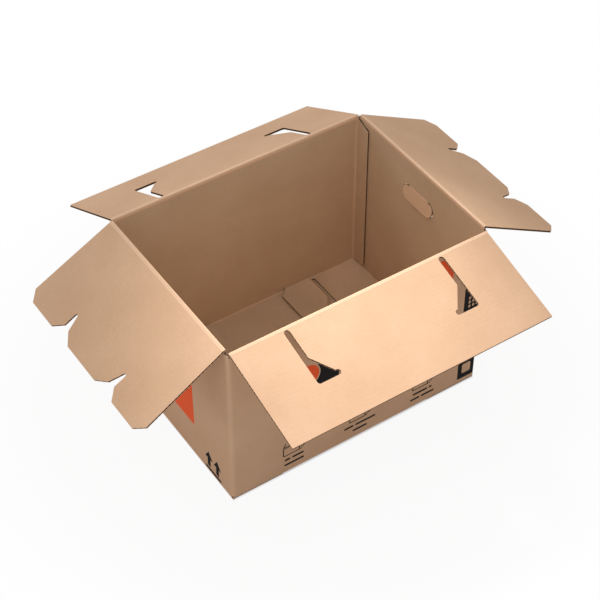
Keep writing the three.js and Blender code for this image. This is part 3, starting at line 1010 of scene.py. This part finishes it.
def thisWayUp():
    middle, shaft, head = arrows["middle"], arrows["shaftHalf"], arrows["headHalf"]
    foot, neck = arrows["foot"], arrows["neck"]
    shapes = [[roundedBar(middle - arrows["barHalf"], arrows["barLow"], middle + arrows["barHalf"],
                          arrows["barHigh"], arrows["barCorner"])]]
    for centre in (middle - arrows["apart"], middle + arrows["apart"]):
        shapes.append([[(centre - shaft, foot), (centre + shaft, foot), (centre + shaft, neck),
                        (centre + head, neck), (centre, arrows["tip"]), (centre - head, neck),
                        (centre - shaft, neck)]])
    return shapes


for wall in ("front", "back"):
    wallPrint(wall + "WallBlackPrint", wall, longWallBlack(), blackInk)
    wallPrint(wall + "WallOrangePrint", wall, longWallOrange(), orangeInk)
for wall in ("left", "right"):
    wallPrint(wall + "WallOrangePrint", wall, endWallOrange(), orangeInk)
    wallPrint(wall + "WallBlackPrint", wall, thisWayUp(), blackInk)
print("print made")


# Studio: pale floor, soft lamps and the camera at the photograph's angle

studio = {
    "floorColour": (0.86, 0.86, 0.86),
    "floorRoughness": 0.9,
    "floorSheen": 0.1,
    "floorHalf": 6,
    "floorLevel": -0.0004,
    "shadeEdge": 0.96,        # share of the box's half size where the ground's shadow begins to end
    "floorWhite": ((0.45, 0.92), (0.8, 1.0)),   # distance in metres and share of plain white seen there
    "ambient": 0.50,
    "aim": (0, 0, 0.2),
    "lamps": [
        {"name": "backLamp", "at": (0.0, 2.4, 2.0), "size": 1.5, "watts": 21},
        {"name": "frontLamp", "at": (-0.1, -0.75, 1.5), "size": 0.8, "watts": 3.4},
        {"name": "leftLamp", "at": (-2.4, -0.2, 1.8), "size": 1.5, "watts": 6},
        {"name": "flapLamp", "at": (0.2, 0.6, 1.7), "size": 0.3, "watts": 130,
         "aim": (-0.08, -0.34, 0.33), "cone": 34},
    ],
}
cameraView = {
    "at": (-1.27604, -1.90914, 2.49279),
    "azimuth": -33.7311, "elevation": 44.8399, "roll": -0.0199,
    "lens": 101.39, "sensor": 36,
}


def seenDirectly(nodes, links):
    path = nodes.new("ShaderNodeLightPath")
    seen = addMath(nodes, links, "MAXIMUM", path.outputs["Is Camera Ray"], path.outputs["Is Glossy Ray"])
    return addMath(nodes, links, "MAXIMUM", seen, path.outputs["Is Transmission Ray"])


# The ground under the box stays in shadow
def besideBox(nodes, links, position):
    separate = nodes.new("ShaderNodeSeparateXYZ")
    links.new(position, separate.inputs[0])
    x = addMath(nodes, links, "ABSOLUTE", separate.outputs["X"], 0)
    y = addMath(nodes, links, "ABSOLUTE",
                addMath(nodes, links, "SUBTRACT", separate.outputs["Y"], boxShiftY * mm), 0)
    out = addMath(nodes, links, "MAXIMUM", addMath(nodes, links, "DIVIDE", x, box["halfLength"] * mm),
                  addMath(nodes, links, "DIVIDE", y, box["halfWidth"] * mm))
    return addRange(nodes, links, out, studio["shadeEdge"], 1.0, 0, 1)


def makeFloorPlane():
    mesh = bpy.data.meshes.new("studioFloor")
    far, level = studio["floorHalf"], studio["floorLevel"]
    mesh.from_pydata([(-far, -far, level), (far, -far, level), (far, far, level), (-far, far, level)],
                     [], [(0, 1, 2, 3)])
    plane = bpy.data.objects.new("studioFloor", mesh)
    bpy.context.scene.collection.objects.link(plane)
    material, nodes, links, shader = newMaterial("paleFloor")
    shader.inputs["Base Color"].default_value = (*studio["floorColour"], 1)
    shader.inputs["Roughness"].default_value = studio["floorRoughness"]
    shader.inputs["Specular IOR Level"].default_value = studio["floorSheen"]
    white = nodes.new("ShaderNodeEmission")
    mix = nodes.new("ShaderNodeMixShader")
    place = nodes.new("ShaderNodeNewGeometry")
    away = nodes.new("ShaderNodeVectorMath")
    away.operation = "LENGTH"
    links.new(place.outputs["Position"], away.inputs[0])
    (nearBy, nearShare), (farOff, farShare) = studio["floorWhite"]
    spread = addRange(nodes, links, away.outputs["Value"], nearBy, farOff, nearShare, farShare)
    beside = addMath(nodes, links, "MULTIPLY", besideBox(nodes, links, place.outputs["Position"]), spread)
    share = addMath(nodes, links, "MULTIPLY", seenDirectly(nodes, links), beside)
    links.new(share, mix.inputs["Fac"])
    links.new(shader.outputs[0], mix.inputs[1])
    links.new(white.outputs[0], mix.inputs[2])
    links.new(mix.outputs[0], nodes["Material Output"].inputs["Surface"])
    mesh.materials.append(material)


def makeLamps():
    for lamp in studio["lamps"]:
        light = bpy.data.lights.new(lamp["name"], "SPOT" if "cone" in lamp else "AREA")
        if "cone" in lamp:
            light.spot_size = math.radians(lamp["cone"])
            light.spot_blend = 1
            light.shadow_soft_size = lamp["size"] / 2
        else:
            light.size = lamp["size"]
        light.energy = lamp["watts"]
        placed = bpy.data.objects.new(lamp["name"], light)
        placed.location = lamp["at"]
        aim = Vector(lamp.get("aim", studio["aim"])) - Vector(lamp["at"])
        placed.rotation_euler = aim.to_track_quat("-Z", "Y").to_euler()
        bpy.context.scene.collection.objects.link(placed)


def makeWorld():
    world = bpy.data.worlds.new("studioWorld")
    world.use_nodes = True
    nodes, links = world.node_tree.nodes, world.node_tree.links
    back = nodes["Background"]
    seen = seenDirectly(nodes, links)
    back.inputs["Color"].default_value = (1, 1, 1, 1)
    strength = addRange(nodes, links, seen, 0, 1, studio["ambient"], 1)
    links.new(strength, back.inputs["Strength"])
    bpy.context.scene.world = world


def makeCamera():
    azimuth, elevation, roll = (math.radians(cameraView[k]) for k in ("azimuth", "elevation", "roll"))
    back = Vector((math.sin(azimuth) * math.cos(elevation), -math.cos(azimuth) * math.cos(elevation),
                   math.sin(elevation)))
    right = (-back).cross(Vector((0, 0, 1))).normalized()
    down = (-back).cross(right)
    rolledRight = right * math.cos(roll) + down * math.sin(roll)
    rolledDown = down * math.cos(roll) - right * math.sin(roll)
    camera = bpy.data.cameras.new("photoCamera")
    camera.sensor_width = cameraView["sensor"]
    camera.lens = cameraView["lens"]
    placed = bpy.data.objects.new("photoCamera", camera)
    turn = Matrix((rolledRight, -rolledDown, back)).transposed()
    placed.matrix_world = Matrix.Translation(cameraView["at"]) @ turn.to_4x4()
    bpy.context.scene.collection.objects.link(placed)
    bpy.context.scene.camera = placed


makeFloorPlane()
makeLamps()
makeWorld()
makeCamera()
bpy.context.scene.view_settings.view_transform = "Standard"
print("studio made")
